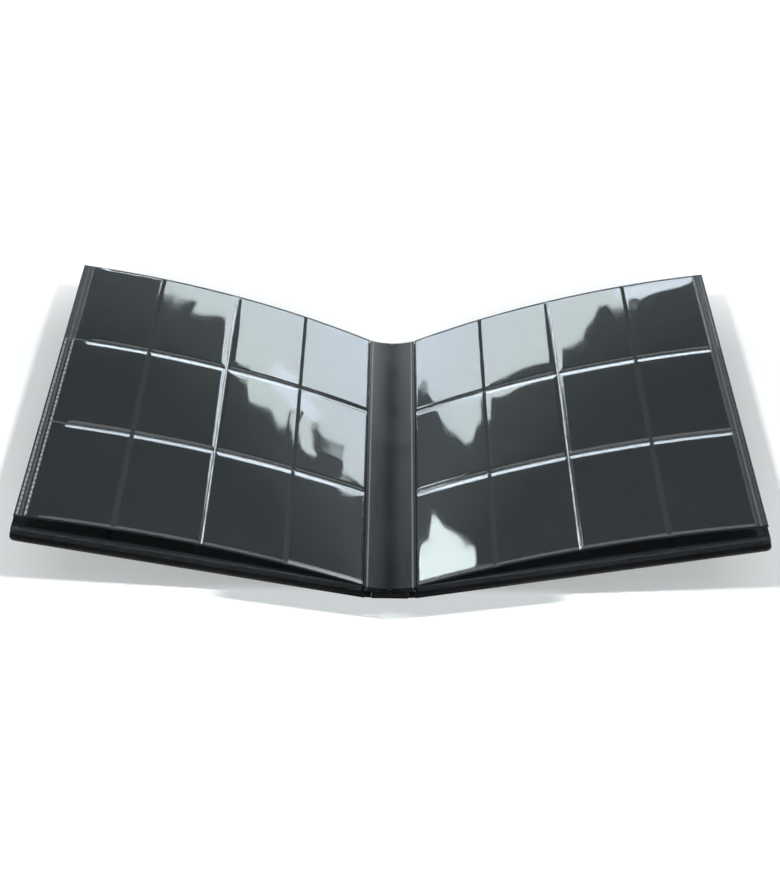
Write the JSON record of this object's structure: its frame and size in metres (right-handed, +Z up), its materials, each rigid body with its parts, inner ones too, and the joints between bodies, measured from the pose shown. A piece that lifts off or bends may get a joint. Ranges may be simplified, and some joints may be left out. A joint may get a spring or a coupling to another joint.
{
  "type": "trading card album",
  "caption": "Open card album with flexible side-loading pocket leaves of clear film over dark backing, bound in a turned-in case with two hinged covers.",
  "frame": {"origin": "middle of the spine's underside, on the table that the album lies on", "axes": "+X across the open album to its right, +Y along the spine away from the viewer, +Z up"},
  "size_m": [0.5846, 0.288, 0.1058],
  "materials": {
    "case_skin": "fine leather-like grain, satin",
    "grey_board": "plain grey board",
    "liner": "matte",
    "backing": "matte dark charcoal",
    "pocket_film": "clear, glossy",
    "binding": "satin"
  },
  "bodies": {
    "spine": {"spine_skin": "case_skin", "spine_board": "grey_board", "spine_liner": "liner", "binding_strip": "binding", "left_hinge_strip": "case_skin", "right_hinge_strip": "case_skin", "left_leaf_5_margin": "binding", "left_leaf_4_margin": "binding", "left_leaf_3_margin": "binding", "left_leaf_2_margin": "binding", "left_leaf_1_margin": "binding", "right_leaf_5_margin": "binding", "right_leaf_4_margin": "binding", "right_leaf_3_margin": "binding", "right_leaf_2_margin": "binding", "right_leaf_1_margin": "binding"},
    "left_cover": {"left_cover_skin": "case_skin", "left_cover_board": "grey_board", "left_cover_liner": "liner"},
    "left_leaf_5": {"left_leaf_5_backing": "backing", "left_leaf_5_upper_film": "pocket_film", "left_leaf_5_lower_film": "pocket_film"},
    "left_leaf_4": {"left_leaf_4_backing": "backing", "left_leaf_4_upper_film": "pocket_film", "left_leaf_4_lower_film": "pocket_film"},
    "left_leaf_3": {"left_leaf_3_backing": "backing", "left_leaf_3_upper_film": "pocket_film", "left_leaf_3_lower_film": "pocket_film"},
    "left_leaf_2": {"left_leaf_2_backing": "backing", "left_leaf_2_upper_film": "pocket_film", "left_leaf_2_lower_film": "pocket_film"},
    "left_leaf_1": {"left_leaf_1_backing": "backing", "left_leaf_1_upper_film": "pocket_film", "left_leaf_1_lower_film": "pocket_film"},
    "right_cover": {"right_cover_skin": "case_skin", "right_cover_board": "grey_board", "right_cover_liner": "liner"},
    "right_leaf_5": {"right_leaf_5_backing": "backing", "right_leaf_5_upper_film": "pocket_film", "right_leaf_5_lower_film": "pocket_film"},
    "right_leaf_4": {"right_leaf_4_backing": "backing", "right_leaf_4_upper_film": "pocket_film", "right_leaf_4_lower_film": "pocket_film"},
    "right_leaf_3": {"right_leaf_3_backing": "backing", "right_leaf_3_upper_film": "pocket_film", "right_leaf_3_lower_film": "pocket_film"},
    "right_leaf_2": {"right_leaf_2_backing": "backing", "right_leaf_2_upper_film": "pocket_film", "right_leaf_2_lower_film": "pocket_film"},
    "right_leaf_1": {"right_leaf_1_backing": "backing", "right_leaf_1_upper_film": "pocket_film", "right_leaf_1_lower_film": "pocket_film"}
  },
  "joints": [
    {"name": "left_cover_hinge", "type": "hinge", "parent": "spine", "child": "left_cover", "pos_m": [-0.019, 0, 0], "axis": [0, -1, 0], "range_deg": [-74, 16], "deforming": ["left_hinge_strip", "left_leaf_5_margin", "left_leaf_4_margin", "left_leaf_3_margin", "left_leaf_2_margin", "left_leaf_1_margin", "left_leaf_1_backing", "left_leaf_1_upper_film", "left_leaf_1_lower_film"]},
    {"name": "left_leaf_5_turn", "type": "hinge", "parent": "left_cover", "child": "left_leaf_5", "pos_m": [-0.02366, 0, 0.00659], "axis": [0, 1, 0], "range_deg": [0, 2.5]},
    {"name": "left_leaf_4_turn", "type": "hinge", "parent": "left_leaf_5", "child": "left_leaf_4", "pos_m": [-0.02317, 0, 0.00832], "axis": [0, 1, 0], "range_deg": [0, 2.5]},
    {"name": "left_leaf_3_turn", "type": "hinge", "parent": "left_leaf_4", "child": "left_leaf_3", "pos_m": [-0.02267, 0, 0.01005], "axis": [0, 1, 0], "range_deg": [0, 2.5]},
    {"name": "left_leaf_2_turn", "type": "hinge", "parent": "left_leaf_3", "child": "left_leaf_2", "pos_m": [-0.02218, 0, 0.01178], "axis": [0, 1, 0], "range_deg": [0, 2.5]},
    {"name": "left_leaf_1_turn", "type": "hinge", "parent": "left_leaf_2", "child": "left_leaf_1", "pos_m": [-0.02168, 0, 0.01351], "axis": [0, 1, 0], "range_deg": [0, 10]},
    {"name": "right_cover_hinge", "type": "hinge", "parent": "spine", "child": "right_cover", "pos_m": [0.019, 0, 0], "axis": [0, 1, 0], "range_deg": [-74, 16], "deforming": ["right_hinge_strip", "right_leaf_5_margin", "right_leaf_4_margin", "right_leaf_3_margin", "right_leaf_2_margin", "right_leaf_1_margin", "right_leaf_1_backing", "right_leaf_1_upper_film", "right_leaf_1_lower_film"]},
    {"name": "right_leaf_5_turn", "type": "hinge", "parent": "right_cover", "child": "right_leaf_5", "pos_m": [0.02366, 0, 0.00659], "axis": [0, -1, 0], "range_deg": [0, 2.5]},
    {"name": "right_leaf_4_turn", "type": "hinge", "parent": "right_leaf_5", "child": "right_leaf_4", "pos_m": [0.02317, 0, 0.00832], "axis": [0, -1, 0], "range_deg": [0, 2.5]},
    {"name": "right_leaf_3_turn", "type": "hinge", "parent": "right_leaf_4", "child": "right_leaf_3", "pos_m": [0.02267, 0, 0.01005], "axis": [0, -1, 0], "range_deg": [0, 2.5]},
    {"name": "right_leaf_2_turn", "type": "hinge", "parent": "right_leaf_3", "child": "right_leaf_2", "pos_m": [0.02218, 0, 0.01178], "axis": [0, -1, 0], "range_deg": [0, 2.5]},
    {"name": "right_leaf_1_turn", "type": "hinge", "parent": "right_leaf_2", "child": "right_leaf_1", "pos_m": [0.02168, 0, 0.01351], "axis": [0, -1, 0], "range_deg": [0, 136]}
  ]
}
